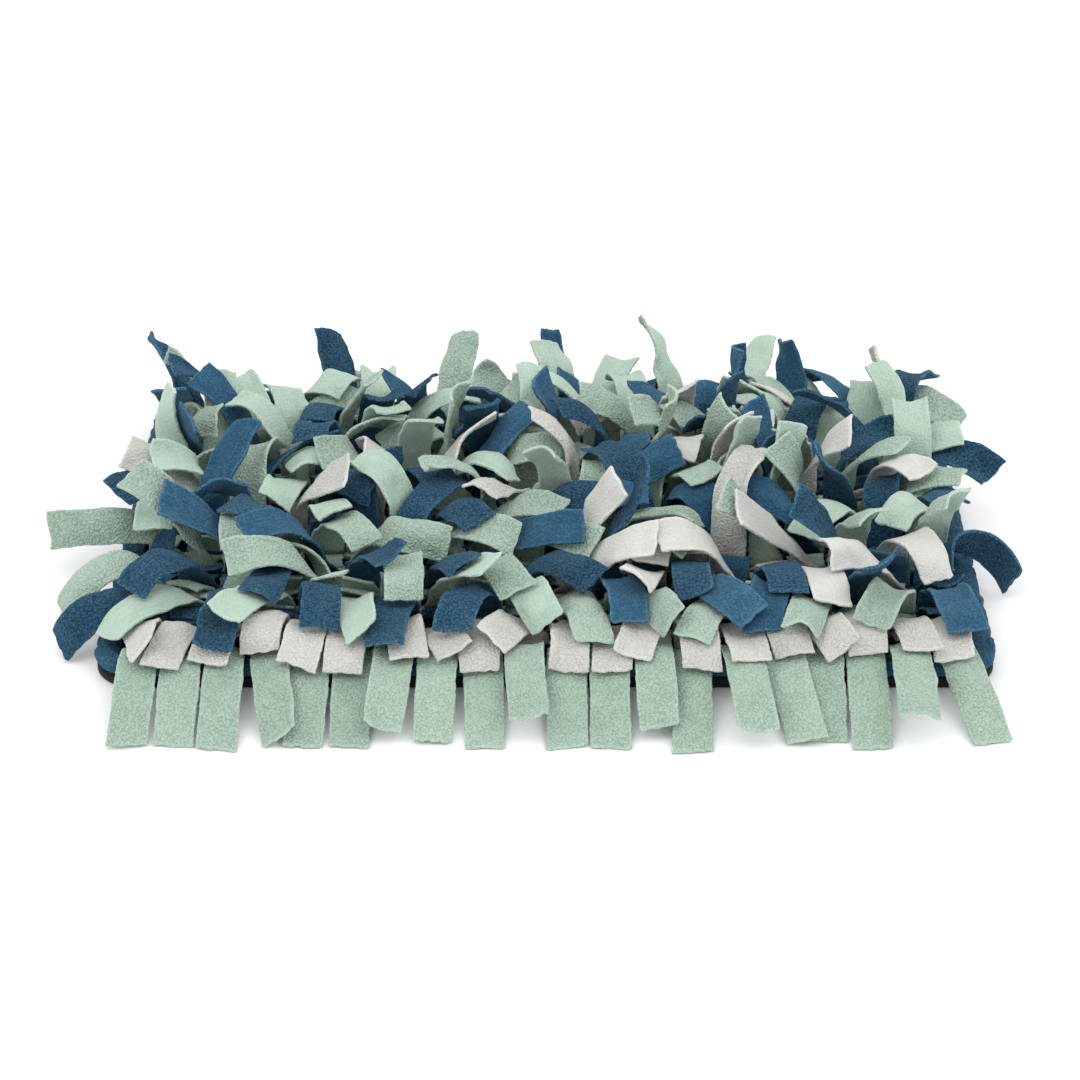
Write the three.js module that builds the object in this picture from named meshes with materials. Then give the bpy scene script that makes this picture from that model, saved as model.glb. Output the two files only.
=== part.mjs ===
// A snuffle mat: rows of fleece bands, each slit into strips, sewn to a dark mat with a bound edge.
// Millimetres, +Z up. The front edge faces -Y, and the origin is the centre of the underside.
import * as THREE from "three";
import { mergeVertices } from "three/addons/utils/BufferGeometryUtils.js";

// Driving dimensions

const MAT = { wide: 500, deep: 340, thick: 6, corner: 24, cornerSteps: 6 };
const BINDING = { wide: 14, high: 8 };
const BAND = { wide: 6, thick: 2.4, endMargin: 0.2, pairGap: 1 };
const STRIP = { wide: 22, thick: 2.4, segments: 6, longSpread: 5 };
const FIELD = { columns: 20, sideInset: 26.2, frontInset: 24, backInset: 28 };
const SEAT_GAP = 0.3;
const EDGE_CLEARANCE = 2;
// How far out and in from the binding a strip that lies over it has come down again.
const EDGE_SLOPE = { outside: 10, inside: 4 };

// One line for each sewn row, front to back. bands: the fleece of its four bands, left to right.
// paired: each half of the row has two bands, one behind the other, whose strips take turns.
// long: the strips' length. rise: how steeply they leave the seam, and fan: how far they turn from
// straight ahead, in degrees. over: how far the cloth curls over. firm: how well it keeps that curl.
// lean: how hard the strips are pushed over. back: the share of them that fall to the back.
const ROWS = [
  { bands: "GGGG", paired: false, long: 92, rise: 40, fan: 9, over: 0.2, firm: 0.08, lean: 0.15, back: 0 },
  { bands: "WWWW", paired: false, long: 70, rise: 50, fan: 14, over: 2.4, firm: 0.12, lean: 0.07, back: 0 },
  { bands: "BGGB", paired: true, long: 88, rise: 60, fan: 28, over: 2, firm: 0.1, lean: 0.06, back: 0 },
  { bands: "GBWB", paired: true, long: 86, rise: 70, fan: 44, over: 2.4, firm: 0.11, lean: 0.06, back: 0.1 },
  { bands: "BGWG", paired: true, long: 84, rise: 78, fan: 56, over: 2.4, firm: 0.14, lean: 0.06, back: 0.25 },
  { bands: "GBBG", paired: true, long: 82, rise: 80, fan: 60, over: 2.3, firm: 0.14, lean: 0.06, back: 0.35 },
  { bands: "GWGB", paired: true, long: 82, rise: 80, fan: 62, over: 2.3, firm: 0.14, lean: 0.06, back: 0.4 },
  { bands: "BGWG", paired: true, long: 82, rise: 80, fan: 62, over: 2.3, firm: 0.14, lean: 0.06, back: 0.45 },
  { bands: "GGGB", paired: true, long: 82, rise: 80, fan: 57, over: 2.3, firm: 0.14, lean: 0.06, back: 0.5 },
  { bands: "BGBG", paired: true, long: 82, rise: 80, fan: 58, over: 2.3, firm: 0.14, lean: 0.06, back: 0.5 },
  { bands: "GBGW", paired: true, long: 80, rise: 80, fan: 52, over: 2.3, firm: 0.14, lean: 0.06, back: 0.5 },
  { bands: "BGGB", paired: true, long: 72, rise: 80, fan: 42, over: 2.3, firm: 0.14, lean: 0.06, back: 0.5 },
  { bands: "BGBG", paired: true, long: 70, rise: 76, fan: 32, over: 2, firm: 0.14, lean: 0.06, back: 0.6 },
];
const RISE_SPREAD = 12;
const OVER_SPREAD = 0.9;
// Neighbouring strips also drift the same way, in swirls of these sizes.
const SWIRL = { wide: 62, deep: 47, share: 0.8 };

// The columns next to the two sides turn outwards by these angles, in degrees, from the side in.
const SIDE_TURN = [32, 22, 10];
// The share of that turn that the front and back rows keep, counted from the edge in.
const EDGE_ROW_TURN = [0.05, 0.2, 0.7];
const TURN_LIMIT = 65;

const FLEECE = {
  G: { name: "sage", colour: 0xa7bdae },
  B: { name: "petrol", colour: 0x355a72 },
  W: { name: "ivory", colour: 0xd6d4cf },
};
const BASE_COLOUR = 0x17191b;

// How the strips settle. Each row is let go rowSteps after the one in front of it. weight pulls the
// strips down, and lean and roll push them over and turn them for their first leanSteps, in
// millimetres a step. fastest: in any direction, and rebound: upwards, after a push. stretch, shear,
// push and hold are the shares of an error that one pass mends.
// apart: between the middles of two layers. reach: how far ahead contacts are looked for. rub: the
// share of a slide that the ground stops.
const SETTLE = {
  steps: 300,
  passes: 9,
  weight: 0.065,
  roll: 0.1,
  rowSteps: 10,
  leanSteps: 100,
  drag: 0.93,
  fastest: 1.5,
  rebound: 0.1,
  stretch: 0.9,
  shear: 0.2,
  push: 0.35,
  hold: 0.5,
  apart: 5.5,
  reach: 2.6,
  rub: 0.5,
};
// Contact points over each strip. A strip can meet itself past foldSegments along its run.
const CONTACTS = { across: 6, perSegment: 4, inset: 2, foldSegments: 2 };
const SEED = 4711;
// Points closer than this are one point of a solid.
const WELD = 0.001;

const STATIONS = STRIP.segments + 1;
const POINTS = STATIONS * 2;
const BAND_BOTTOM = MAT.thick + SEAT_GAP;
const BAND_TOP = BAND_BOTTOM + BAND.thick;
const BINDING_BOTTOM = MAT.thick + SEAT_GAP;
const BINDING_TOP = BINDING_BOTTOM + BINDING.high;

const ALONG_SEAM = new THREE.Vector3(1, 0, 0);
const UP = new THREE.Vector3(0, 0, 1);

const { clamp, degToRad, lerp, smoothstep } = THREE.MathUtils;

// A repeatable source of numbers from 0 to 1.
function randomSource(seed) {
  let state = seed;
  return () => {
    state = (state + 0x6d2b79f5) >>> 0;
    let mixed = Math.imul(state ^ (state >>> 15), 1 | state);
    mixed = (mixed + Math.imul(mixed ^ (mixed >>> 7), 61 | mixed)) ^ mixed;
    return ((mixed ^ (mixed >>> 14)) >>> 0) / 2 ** 32;
  };
}

const random = randomSource(SEED);
const spread = (size) => lerp(-size, size, random());

// Strips

// How far a column's strips turn outwards, in degrees: to the left below 0, to the right above.
function outwardTurn(row, column) {
  const fromLeft = column;
  const fromRight = FIELD.columns - 1 - column;
  const turn = SIDE_TURN[Math.min(fromLeft, fromRight)] ?? 0;
  const keep = EDGE_ROW_TURN[Math.min(row, ROWS.length - 1 - row)] ?? 1;
  return turn * keep * (fromLeft < fromRight ? -1 : 1);
}

// Which of its row's bands a strip belongs to.
function bandOf(row, column) {
  const { bands, paired } = ROWS[row];
  const share = column / FIELD.columns;
  if (!paired) return Math.floor(share * bands.length);
  return 2 * Math.round(share) + (column % 2);
}

// One strip's place on its seam, the way that it falls, and the curl of the cloth.
function layStrip(row, column) {
  const { paired, long, rise, fan, over, firm, lean, back } = ROWS[row];
  const span = MAT.wide - 2 * FIELD.sideInset;
  const depth = MAT.deep - FIELD.frontInset - FIELD.backInset;
  const x = -span / 2 + (span * column) / (FIELD.columns - 1);
  const y = -MAT.deep / 2 + FIELD.frontInset + (depth * row) / (ROWS.length - 1);
  const behind = paired ? (column % 2) - 0.5 : 0;
  const falls = random() < back ? -1 : 1;
  const drift = fan * SWIRL.share * Math.sin(x / SWIRL.wide + 2) * Math.cos(y / SWIRL.deep + 1);
  const aside = outwardTurn(row, column) * falls + drift + spread(fan);
  const turn = degToRad(clamp(aside, -TURN_LIMIT, TURN_LIMIT));
  const climb = degToRad(rise + spread(RISE_SPREAD));
  const ahead = new THREE.Vector3(Math.sin(turn), -Math.cos(turn), 0).multiplyScalar(falls);
  return {
    row,
    band: bandOf(row, column),
    seam: new THREE.Vector3(x, y + behind * (BAND.wide + BAND.pairGap), BAND_TOP),
    across: new THREE.Vector3(Math.cos(turn), Math.sin(turn), 0),
    ahead,
    leaves: ahead.clone().multiplyScalar(Math.cos(climb)).setZ(Math.sin(climb)),
    step: (long + spread(STRIP.longSpread)) / STRIP.segments,
    curl: -falls * over * (1 + spread(OVER_SPREAD)),
    firm,
    lean,
    letGo: row * SETTLE.rowSteps,
    roll: row === 0 ? 0 : spread(SETTLE.roll),
  };
}

// The lowest place for the middle of a strip's thickness: over the floor, the binding or the mat.
function supportAt(x, y) {
  const beyondX = Math.max(Math.abs(x) - (MAT.wide / 2 - MAT.corner), 0);
  const beyondY = Math.max(Math.abs(y) - (MAT.deep / 2 - MAT.corner), 0);
  const inside = MAT.corner - Math.hypot(beyondX, beyondY);
  const overEdge = smoothstep(inside, -EDGE_SLOPE.outside, 0) * (BINDING_TOP + EDGE_CLEARANCE);
  const pastEdge = smoothstep(inside, BINDING.wide - EDGE_SLOPE.inside, BINDING.wide + EDGE_SLOPE.inside);
  return lerp(overEdge, BAND_TOP + SEAT_GAP, pastEdge) + STRIP.thick / 2;
}

// The settling pile. Each strip is two edges, left and right, of STATIONS points each. Contact
// points are spread over it, each a mix of the four corners of the segment that it lies in.
class Pile {
  constructor(strips) {
    this.strips = strips;
    this.now = new Float64Array(strips.length * POINTS * 3);
    strips.forEach((strip, s) => this.stand(strip, s));
    this.before = this.now.slice();
    this.addContacts();
  }

  at(s, station, side) {
    return (s * POINTS + station * 2 + side) * 3;
  }

  edge(s, station, side) {
    return new THREE.Vector3().fromArray(this.now, this.at(s, station, side));
  }

  // Every strip starts upright over its seam, so that no two cross. The front row starts on its way down.
  stand(strip, s) {
    const way = strip.row === 0 ? strip.leaves : UP;
    for (let k = 0; k < STATIONS; k++) {
      for (const side of [0, 1]) {
        const point = strip.seam.clone().addScaledVector(way, k * strip.step);
        point.addScaledVector(k === 0 ? ALONG_SEAM : strip.across, (side - 0.5) * STRIP.wide);
        point.toArray(this.now, this.at(s, k, side));
      }
    }
  }

  addContacts() {
    const rows = STRIP.segments * CONTACTS.perSegment;
    const count = this.strips.length * rows * CONTACTS.across;
    this.contacts = count;
    this.owner = new Int32Array(count);
    this.along = new Float64Array(count);
    this.corners = new Int32Array(count * 4);
    this.shares = new Float64Array(count * 4);
    this.places = new Float64Array(count * 3);
    const inset = CONTACTS.inset / STRIP.wide;
    let i = 0;
    this.strips.forEach((strip, s) => {
      for (let row = 1; row <= rows; row++) {
        const along = row / CONTACTS.perSegment;
        const k = Math.min(Math.floor(along), STRIP.segments - 1);
        const u = along - k;
        for (let n = 0; n < CONTACTS.across; n++) {
          const v = lerp(inset, 1 - inset, n / (CONTACTS.across - 1));
          this.owner[i] = s;
          this.along[i] = along;
          const [near, far] = [this.at(s, k, 0), this.at(s, k + 1, 0)];
          this.corners.set([near, near + 3, far, far + 3], i * 4);
          this.shares.set([(1 - u) * (1 - v), (1 - u) * v, u * (1 - v), u * v], i * 4);
          i++;
        }
      }
    });
  }

  placeContact(i) {
    const { now, places, corners, shares } = this;
    for (let axis = 0; axis < 3; axis++) {
      let sum = 0;
      for (let c = i * 4; c < i * 4 + 4; c++) sum += shares[c] * now[corners[c] + axis];
      places[i * 3 + axis] = sum;
    }
  }

  placeContacts() {
    for (let i = 0; i < this.contacts; i++) this.placeContact(i);
  }

  // Moves a contact point by moving the corners that it hangs on.
  moveContact(i, x, y, z) {
    const { now, corners, shares } = this;
    let total = 0;
    for (let c = i * 4; c < i * 4 + 4; c++) total += shares[c] * shares[c];
    for (let c = i * 4; c < i * 4 + 4; c++) {
      const share = shares[c] / total;
      now[corners[c]] += x * share;
      now[corners[c] + 1] += y * share;
      now[corners[c] + 2] += z * share;
    }
  }

  // Two contact points can meet if they lie on different strips, or far apart along one strip.
  canMeet(i, j) {
    if (this.owner[i] !== this.owner[j]) return true;
    return Math.abs(this.along[i] - this.along[j]) > CONTACTS.foldSegments;
  }

  distance(i, j) {
    const { places } = this;
    const x = places[i * 3] - places[j * 3];
    const y = places[i * 3 + 1] - places[j * 3 + 1];
    const z = places[i * 3 + 2] - places[j * 3 + 2];
    return Math.sqrt(x * x + y * y + z * z);
  }

  // Pairs of contact points that are near each other, found through a grid of cells. A point meets
  // those in its own cell and in the 26 cells around it.
  findPairs() {
    const size = SETTLE.apart + SETTLE.reach;
    const counts = [2 * MAT.wide, 2 * MAT.deep, MAT.deep].map((span) => Math.ceil(span / size));
    const cellAt = (x, y, z) => (x * counts[1] + y) * counts[2] + z;
    const first = new Int32Array(counts[0] * counts[1] * counts[2]).fill(-1);
    const next = new Int32Array(this.contacts);
    this.placeContacts();
    this.pairs = [];
    for (let i = 0; i < this.contacts; i++) {
      const x = Math.floor((this.places[i * 3] + MAT.wide) / size);
      const y = Math.floor((this.places[i * 3 + 1] + MAT.deep) / size);
      const z = Math.floor(this.places[i * 3 + 2] / size) + 1;
      for (let near = 0; near < 27; near++) {
        const [dx, dy, dz] = [(near % 3) - 1, (Math.floor(near / 3) % 3) - 1, Math.floor(near / 9) - 1];
        for (let j = first[cellAt(x + dx, y + dy, z + dz)]; j >= 0; j = next[j]) {
          if (this.canMeet(i, j) && this.distance(i, j) < size) this.pairs.push(i, j);
        }
      }
      next[i] = first[cellAt(x, y, z)];
      first[cellAt(x, y, z)] = i;
    }
  }

  keepApart() {
    const { pairs, places } = this;
    this.placeContacts();
    for (let n = 0; n < pairs.length; n += 2) {
      const [i, j] = [pairs[n], pairs[n + 1]];
      const gap = this.distance(i, j);
      if (gap >= SETTLE.apart || gap === 0) continue;
      const push = (SETTLE.push * (SETTLE.apart - gap)) / gap;
      const x = (places[i * 3] - places[j * 3]) * push;
      const y = (places[i * 3 + 1] - places[j * 3 + 1]) * push;
      const z = (places[i * 3 + 2] - places[j * 3 + 2]) * push;
      this.moveContact(i, x, y, z);
      this.moveContact(j, -x, -y, -z);
    }
  }

  // Rests the strips on what is under them, with some rubbing.
  keepUp() {
    const { now, before } = this;
    for (let i = 0; i < this.contacts; i++) {
      this.placeContact(i);
      const low = supportAt(this.places[i * 3], this.places[i * 3 + 1]) - this.places[i * 3 + 2];
      if (low > 0) this.moveContact(i, 0, 0, low);
    }
    this.strips.forEach((strip, s) => {
      for (let p = this.at(s, 1, 0); p < this.at(s + 1, 0, 0); p += 3) {
        const low = supportAt(now[p], now[p + 1]);
        if (now[p + 2] > low) continue;
        now[p] = lerp(now[p], before[p], SETTLE.rub);
        now[p + 1] = lerp(now[p + 1], before[p + 1], SETTLE.rub);
        now[p + 2] = low;
      }
    });
  }

  // Moves two points towards their length apart.
  keepLength(p, q, length, firmness) {
    const { now } = this;
    const x = now[q] - now[p];
    const y = now[q + 1] - now[p + 1];
    const z = now[q + 2] - now[p + 2];
    const far = Math.sqrt(x * x + y * y + z * z);
    const share = (firmness * 0.5 * (far - length)) / far;
    now[p] += x * share;
    now[p + 1] += y * share;
    now[p + 2] += z * share;
    now[q] -= x * share;
    now[q + 1] -= y * share;
    now[q + 2] -= z * share;
  }

  keepCloth(strip, s) {
    const diagonal = Math.hypot(strip.step, STRIP.wide);
    for (let k = 0; k < STATIONS; k++) {
      this.keepLength(this.at(s, k, 0), this.at(s, k, 1), STRIP.wide, SETTLE.stretch);
      if (k === STRIP.segments) break;
      for (const side of [0, 1]) {
        this.keepLength(this.at(s, k, side), this.at(s, k + 1, side), strip.step, SETTLE.stretch);
        this.keepLength(this.at(s, k, side), this.at(s, k + 1, 1 - side), diagonal, SETTLE.shear);
      }
    }
  }

  // The way that the cloth faces at a station: square to its width and to its run.
  face(s, k) {
    const low = Math.max(k - 1, 0);
    const high = Math.min(k + 1, STRIP.segments);
    const run = this.edge(s, high, 0).add(this.edge(s, high, 1));
    run.sub(this.edge(s, low, 0)).sub(this.edge(s, low, 1));
    return this.edge(s, k, 1).sub(this.edge(s, k, 0)).cross(run).normalize();
  }

  // The cloth resists bending away from its own curl.
  keepBend(strip, s) {
    const { now } = this;
    for (let k = 1; k < STRIP.segments; k++) {
      const face = this.face(s, k).toArray();
      for (const side of [0, 1]) {
        const [a, p, b] = [this.at(s, k - 1, side), this.at(s, k, side), this.at(s, k + 1, side)];
        for (let axis = 0; axis < 3; axis++) {
          const off = (now[a + axis] + now[b + axis]) / 2 - now[p + axis] + face[axis] * strip.curl;
          now[p + axis] += off * strip.firm;
          now[a + axis] -= (off * strip.firm) / 2;
          now[b + axis] -= (off * strip.firm) / 2;
        }
      }
    }
  }

  // One end of a strip's root, on its seam.
  rootEnd(strip, side) {
    return strip.seam.clone().addScaledVector(ALONG_SEAM, (side - 0.5) * STRIP.wide);
  }

  // The seam stays put, and the first segment turns from upright to the way that the strip leaves it.
  keepSeam(strip, s, turned) {
    const way = strip.row === 0 ? strip.leaves : UP.clone().lerp(strip.leaves, turned).normalize();
    for (const side of [0, 1]) {
      const next = strip.seam.clone().addScaledVector(strip.across, (side - 0.5) * STRIP.wide);
      next.addScaledVector(way, strip.step);
      this.rootEnd(strip, side).toArray(this.now, this.at(s, 0, side));
      this.edge(s, 1, side).lerp(next, SETTLE.hold).toArray(this.now, this.at(s, 1, side));
    }
  }

  moveFreely(step) {
    const { now, before } = this;
    const move = new THREE.Vector3();
    this.strips.forEach((strip, s) => {
      const age = step - strip.letGo;
      const fastest = age < 0 ? 0 : SETTLE.fastest;
      const leaning = 1 - smoothstep(age, SETTLE.leanSteps / 2, SETTLE.leanSteps);
      for (let k = 1; k < STATIONS; k++) {
        for (const side of [0, 1]) {
          const p = this.at(s, k, side);
          move.fromArray(now, p).sub(new THREE.Vector3().fromArray(before, p)).multiplyScalar(SETTLE.drag);
          move.addScaledVector(strip.ahead, strip.lean * leaning);
          move.z += strip.roll * leaning * (side * 2 - 1) - SETTLE.weight;
          move.setZ(Math.min(move.z, SETTLE.rebound)).clampLength(0, fastest);
          before.set(now.subarray(p, p + 3), p);
          now[p] += move.x;
          now[p + 1] += move.y;
          now[p + 2] += move.z;
        }
      }
    });
  }

  settle() {
    for (let step = 0; step < SETTLE.steps; step++) {
      this.moveFreely(step);
      this.findPairs();
      for (let pass = 0; pass < SETTLE.passes; pass++) {
        this.strips.forEach((strip, s) => {
          this.keepBend(strip, s);
          this.keepCloth(strip, s);
          this.keepSeam(strip, s, smoothstep(step - strip.letGo, 0, SETTLE.leanSteps));
        });
        this.keepApart();
        this.keepUp();
      }
    }
  }

  // The four corners of a strip's section, square on the band at its root and level on the floor.
  section(s, k) {
    const end = (side) => (k === 0 ? this.rootEnd(this.strips[s], side) : this.edge(s, k, side));
    const [left, right] = [end(0), end(1)];
    const face = k === 0 ? new THREE.Vector3(0, -1, 0) : this.face(s, k);
    face.multiplyScalar(STRIP.thick / 2);
    const ring = [left.clone().add(face), right.clone().add(face), right.sub(face), left.sub(face)];
    ring.forEach((point) => point.setZ(Math.max(point.z, 0)));
    return ring;
  }
}

// Solids

// A closed surface from triangles of points.
function surface(triangles) {
  return mergeVertices(new THREE.BufferGeometry().setFromPoints(triangles.flat()), WELD);
}

// Triangles over rings of equal size. A loop of rings closes on itself, and other rings get end caps.
// The second half of a ring is split along the other diagonal, so that a twisted strip keeps its thickness.
function skin(rings, { loop = false, startCap = !loop, endCap = !loop } = {}) {
  const size = rings[0].length;
  const triangles = [];
  for (let k = 0; k < rings.length - (loop ? 0 : 1); k++) {
    const here = rings[k];
    const next = rings[(k + 1) % rings.length];
    for (let i = 0; i < size; i++) {
      const j = (i + 1) % size;
      if (i < size / 2) triangles.push([here[i], here[j], next[i]], [here[j], next[j], next[i]]);
      else triangles.push([here[i], here[j], next[j]], [here[i], next[j], next[i]]);
    }
  }
  const [start, end] = [rings[0], rings.at(-1)];
  for (let i = 1; i < size - 1; i++) {
    if (startCap) triangles.push([start[0], start[i + 1], start[i]]);
    if (endCap) triangles.push([end[0], end[i], end[i + 1]]);
  }
  return triangles;
}

// The top of a band's bar, left open at the root of each strip. Rings run anticlockwise from front left.
function barTop([frontLeft, frontRight, backRight, backLeft], roots) {
  const fronts = roots.flatMap(([left, right]) => [left, right]);
  const backs = roots.flatMap(([, , right, left]) => [left, right]);
  const triangles = [[frontLeft, frontRight, fronts.at(-1)], [backRight, backLeft, backs[0]]];
  for (let i = 0; i + 1 < fronts.length; i++) {
    triangles.push([frontLeft, fronts[i + 1], fronts[i]], [backRight, backs[i], backs[i + 1]]);
  }
  const quads = [
    [frontLeft, fronts[0], backs[0], backLeft],
    [fronts.at(-1), frontRight, backRight, backs.at(-1)],
  ];
  for (let i = 1; i + 1 < fronts.length; i += 2) {
    quads.push([fronts[i], fronts[i + 1], backs[i + 1], backs[i]]);
  }
  return triangles.concat(quads.flatMap(([a, b, c, d]) => [[a, b, c], [a, c, d]]));
}

// A band: a bar along the seam with its strips growing out of the bar's top.
function bandGeometry(pile, members) {
  const ribbons = members.map((s) => Array.from({ length: STATIONS }, (_, k) => pile.section(s, k)));
  const roots = ribbons.map(([root]) => root);
  const { min, max } = new THREE.Box3().setFromPoints(roots.flat());
  const margin = (BAND.wide - STRIP.thick) / 2;
  const barRing = (z) => [
    new THREE.Vector3(min.x - BAND.endMargin, min.y - margin, z),
    new THREE.Vector3(max.x + BAND.endMargin, min.y - margin, z),
    new THREE.Vector3(max.x + BAND.endMargin, max.y + margin, z),
    new THREE.Vector3(min.x - BAND.endMargin, max.y + margin, z),
  ];
  return surface([
    ...skin([barRing(BAND_BOTTOM), barRing(BAND_TOP)], { endCap: false }),
    ...barTop(barRing(BAND_TOP), roots),
    ...ribbons.flatMap((rings) => skin(rings, { startCap: false })),
  ]);
}

// The mat's outline, drawn in by an inset, anticlockwise from the right.
function matOutline(inset) {
  const quarters = [[1, 1], [-1, 1], [-1, -1], [1, -1]];
  return quarters.flatMap(([sideX, sideY], quarter) => {
    const centre = new THREE.Vector2(MAT.wide / 2 - MAT.corner, MAT.deep / 2 - MAT.corner);
    centre.multiply({ x: sideX, y: sideY });
    return Array.from({ length: MAT.cornerSteps + 1 }, (_, i) => {
      const angle = (Math.PI / 2) * (quarter + i / MAT.cornerSteps);
      const out = new THREE.Vector2(Math.cos(angle), Math.sin(angle));
      return centre.clone().addScaledVector(out, MAT.corner - inset);
    });
  });
}

function matGeometry() {
  const shape = new THREE.Shape(matOutline(0));
  return new THREE.ExtrudeGeometry(shape, { depth: MAT.thick, bevelEnabled: false });
}

// The binding's rolled section, from the foot of its inner side over the top to its outer foot.
// inset: from the mat's outline, as a share of the binding's width. up: a share of its height.
const BINDING_SECTION = [
  { inset: 1, up: 0 },
  { inset: 1.02, up: 0.45 },
  { inset: 0.86, up: 0.86 },
  { inset: 0.5, up: 1 },
  { inset: 0.14, up: 0.9 },
  { inset: -0.06, up: 0.5 },
  { inset: 0, up: 0 },
];

function bindingGeometry() {
  const loops = BINDING_SECTION.map(({ inset, up }) => {
    const height = BINDING_BOTTOM + up * BINDING.high;
    return matOutline(inset * BINDING.wide).map(({ x, y }) => new THREE.Vector3(x, y, height));
  });
  const sections = loops[0].map((_, i) => loops.map((loop) => loop[i]));
  return surface(skin(sections, { loop: true }));
}

// Materials and the scene graph

function cloth(name, color) {
  return new THREE.MeshStandardMaterial({ name, color, roughness: 0.95, metalness: 0 });
}

function addMesh(name, geometry, material) {
  const mesh = new THREE.Mesh(geometry, material);
  mesh.name = name;
  mesh.geometry.computeVertexNormals();
  snuffleMat.add(mesh);
}

const snuffleMat = new THREE.Group();
snuffleMat.name = "snuffle_mat";
addMesh("base_mat", matGeometry(), cloth("base", BASE_COLOUR));
addMesh("edge_binding", bindingGeometry(), cloth("binding", FLEECE.B.colour));

const strips = ROWS.flatMap((_, row) =>
  Array.from({ length: FIELD.columns }, (_, column) => layStrip(row, column)),
);
const pile = new Pile(strips);
pile.settle();

ROWS.forEach(({ bands }, row) => {
  [...bands].forEach((letter, band) => {
    const { name, colour } = FLEECE[letter];
    const members = strips.keys().filter((s) => strips[s].row === row && strips[s].band === band);
    const label = `band_${String(row + 1).padStart(2, "0")}_${band + 1}_${name}`;
    addMesh(label, bandGeometry(pile, [...members]), cloth(name, colour));
  });
});

export default snuffleMat;
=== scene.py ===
"""The looks of a fleece snuffle mat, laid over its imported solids. Metres, +Z up, front edge towards -Y."""

import math

import bpy
import numpy as np
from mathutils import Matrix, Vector
from mathutils.kdtree import KDTree


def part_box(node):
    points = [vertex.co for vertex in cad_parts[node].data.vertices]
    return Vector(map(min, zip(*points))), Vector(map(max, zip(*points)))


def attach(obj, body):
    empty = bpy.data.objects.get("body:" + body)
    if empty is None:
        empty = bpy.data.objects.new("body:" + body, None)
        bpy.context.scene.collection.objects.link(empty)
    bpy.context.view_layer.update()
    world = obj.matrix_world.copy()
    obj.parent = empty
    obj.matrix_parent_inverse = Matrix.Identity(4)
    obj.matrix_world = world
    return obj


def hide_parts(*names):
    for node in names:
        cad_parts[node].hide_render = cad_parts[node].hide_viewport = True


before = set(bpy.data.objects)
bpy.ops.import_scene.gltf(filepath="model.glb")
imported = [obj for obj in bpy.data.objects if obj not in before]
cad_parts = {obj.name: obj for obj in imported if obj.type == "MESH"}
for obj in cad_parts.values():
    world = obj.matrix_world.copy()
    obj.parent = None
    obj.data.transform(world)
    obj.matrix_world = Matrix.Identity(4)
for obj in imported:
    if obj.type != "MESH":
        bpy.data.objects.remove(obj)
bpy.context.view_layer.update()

MM = 0.001
SEED = 7
TINY = 1e-12

# The solids that the cloth is laid over. low, top: heights above the floor.
STRIP = {"wide": 22 * MM, "thick": 2.4 * MM}
BAR = {"wide": 6 * MM, "low": 6.3 * MM, "top": 8.7 * MM, "bevel": 0.9 * MM}
MAT = {"corner": 24 * MM, "bevel": 1.6 * MM}
BINDING = {"wide": 14 * MM, "low": 6.1 * MM, "tall": 8.2 * MM}

# How near two points of a solid are to count as one, and how near a point is to a level to lie on it
WELD = 0.01 * MM
CLOSE = 0.004 * MM

# The cloth of the bands. Its rough face is the back one, which is up on a strip that falls to the front.
# Behind the two front rows a share of the bands is turned.
CLOTH_THICK = 1.9 * MM
FRONT_BANDS = ("band_01", "band_02")
TURNED_SHARE = 0.3

# Rows and columns of a strip's skin, closer together along its cut edges. edge, tip: from the cut, inwards.
LONG_GRID = {"edge": np.array([0, 0.15, 0.6, 1.6, 3.2, 5.2, 7.3, 9.2]) * MM,
             "tip": np.array([0, 0.15, 0.6, 1.6, 3.2]) * MM, "root_rows": 5, "body_rows": 32}
SHORT_GRID = {"edge": np.array([0, 0.25, 1.0, 5.0]) * MM,
              "tip": np.array([0, 0.25, 1.0]) * MM, "root_rows": 3, "body_rows": 9}
BODY_START = 1

# A random field is a sum of waves, whose lengths spread about the one asked for
WAVE_SPREAD = (0.75, 1.35)
WAVE_CREST = 1.5

# How a strip is cut. Lengths along it are in stations of its solid, and those across it in half widths.
CUT = {"slant": 0.13, "slant_from": 2, "ragged": 0.0325, "ragged_wave": 0.6,
       "corner": 0.03, "corner_from": 0.5, "corner_start": 0.78}
DRIFT = {"share": 0.025, "wave": 2.2}
EDGE = {"round": 0.6 * MM, "rim": 1.8 * MM, "at_cut": 0.99, "fray": 0.3 * MM,
        "wander": 0.12 * MM, "wave": 0.45, "apart": 3, "fade": 8}

# How a strip bows out of its plane, in shares of its room: it is cupped and waves, and its tip curls.
# held: where along it the seam's hold ends. Waves and places along it are in stations, as above.
CUP = {"share": 0.8, "wave": 5.5, "bias": 0.6}
WAVE = {"share": 0.35, "wave": 3.0}
FLUTTER = {"share": 0.25, "wave": 1.5, "across": 2.5, "fade": 3}
CURL = {"share": 0.9, "before": 1.4, "past": 0.4}
HELD = {"low": 0.2, "high": 1.4}

# The room that a strip has to stray, from how near the others come. lying: its share low over the floor.
ROOM = {"gap": 0.5 * MM, "least": 0.3 * MM, "most": 3.6 * MM, "rows": 25, "columns": 5, "nearest": 40,
        "none_near": 1.0, "lying": 0.12, "low": 3 * MM, "high": 14 * MM}
FLOOR_GAP = 0.3 * MM

# The pile of each kind of face, and the lumps that it makes
PILE = {"rough": 1.0, "brushed": 0.3, "rim": 0.7, "binding": 0.7}
LUMP = {"size": 5.2 * MM, "waves": 9, "rough": 0.13 * MM, "brushed": 0.05 * MM}

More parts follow.
